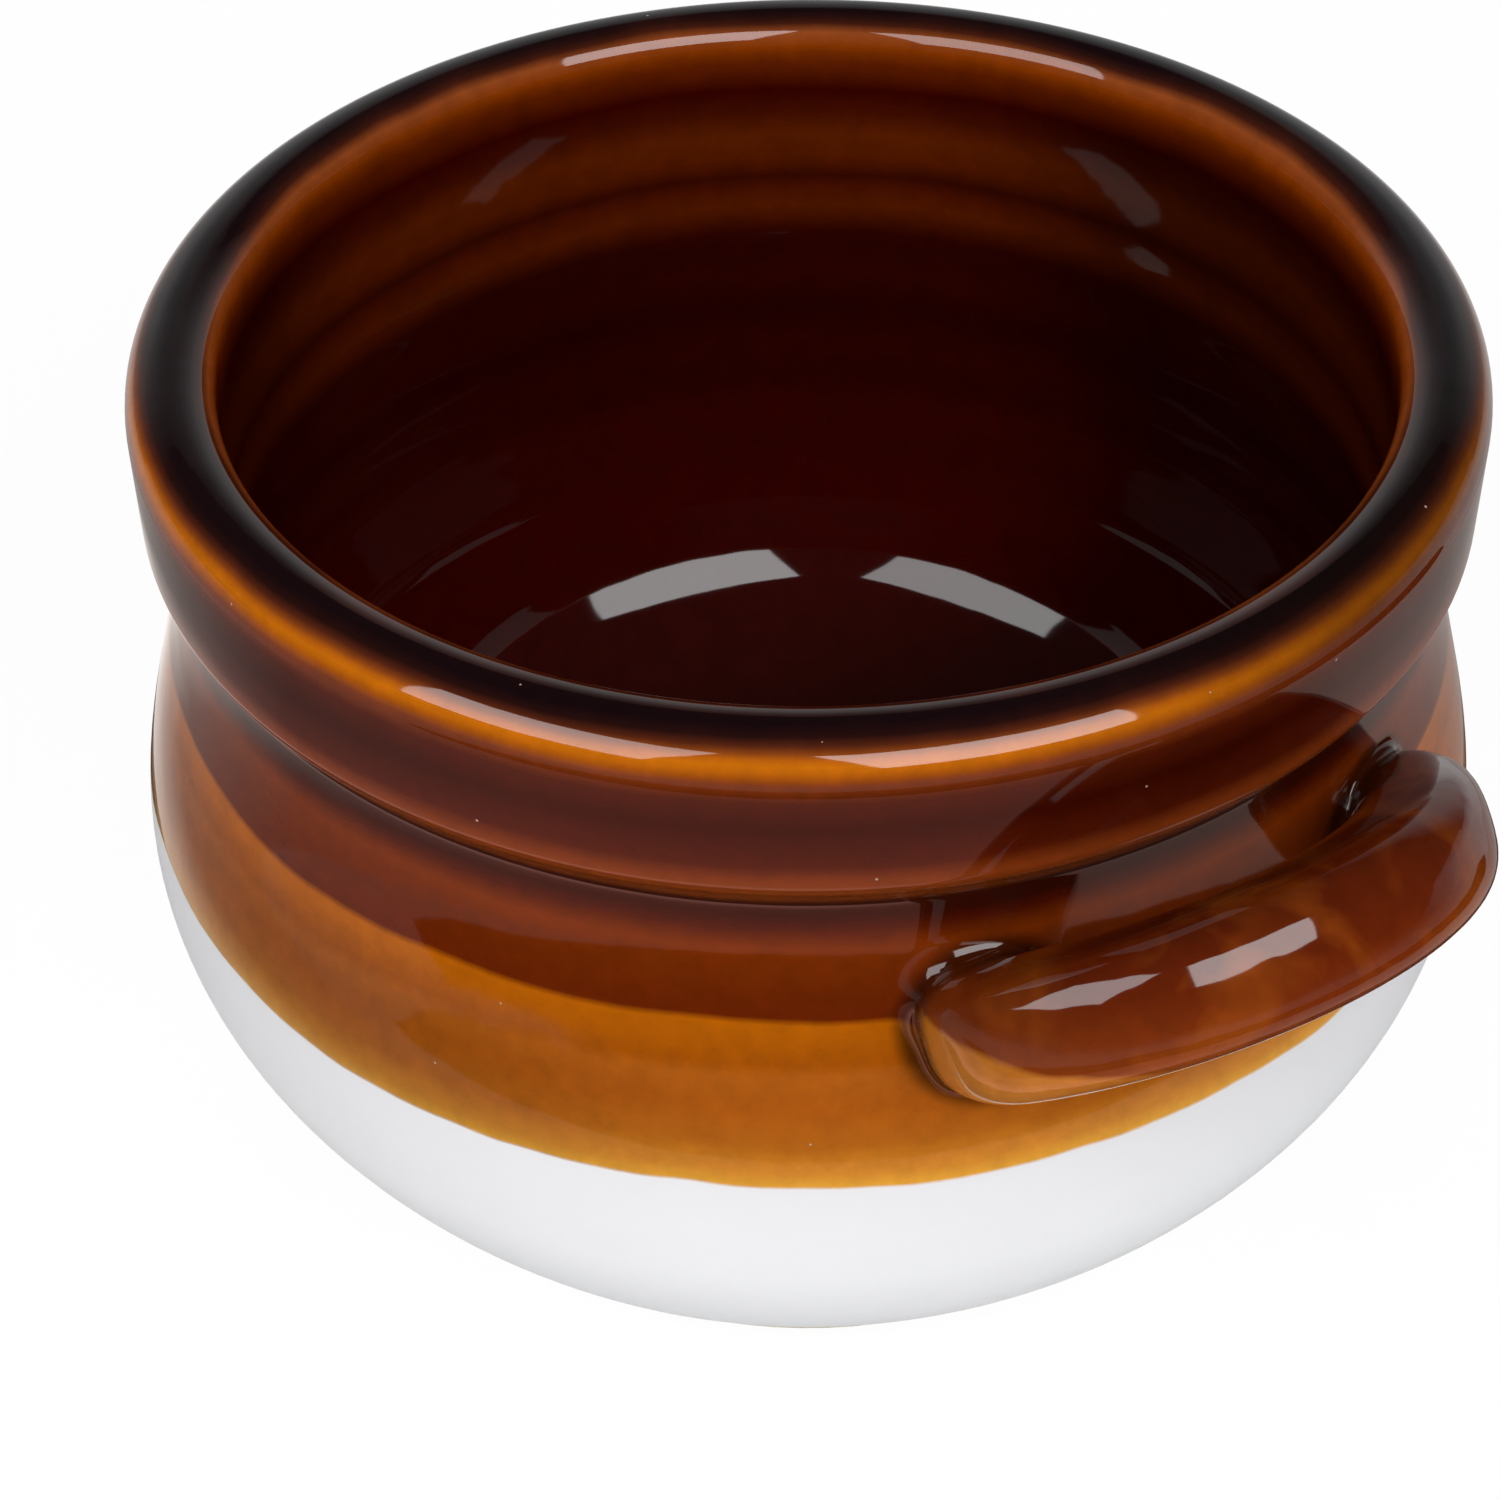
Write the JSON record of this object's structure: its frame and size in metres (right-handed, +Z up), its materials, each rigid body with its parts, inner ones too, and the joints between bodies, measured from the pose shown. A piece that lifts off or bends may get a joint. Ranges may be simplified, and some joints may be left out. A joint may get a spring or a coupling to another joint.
{
  "type": "soup crock",
  "caption": "Round-bellied soup crock with a rolled collar, a pinched neck, a flat foot and one loop handle that tilts up below the neck.",
  "frame": {"origin": "centre of the foot, on the surface that the crock stands on", "axes": "+Z up along the bowl's axis; +X out through the middle of the handle"},
  "size_m": [0.1547, 0.14, 0.0978],
  "materials": {
    "clay": "bare pale stoneware",
    "dark_glaze": "gloss",
    "brown_glaze": "gloss",
    "amber_glaze": "gloss",
    "white_glaze": "satin"
  },
  "bodies": {
    "root": {"stoneware_body": "clay", "liner_glaze": "dark_glaze", "brown_glaze": "brown_glaze", "amber_glaze": "amber_glaze", "white_glaze": "white_glaze", "loop_handle": "clay", "handle_glaze": "brown_glaze", "luting_fillet_left": "brown_glaze", "luting_fillet_right": "brown_glaze"}
  },
  "joints": []
}
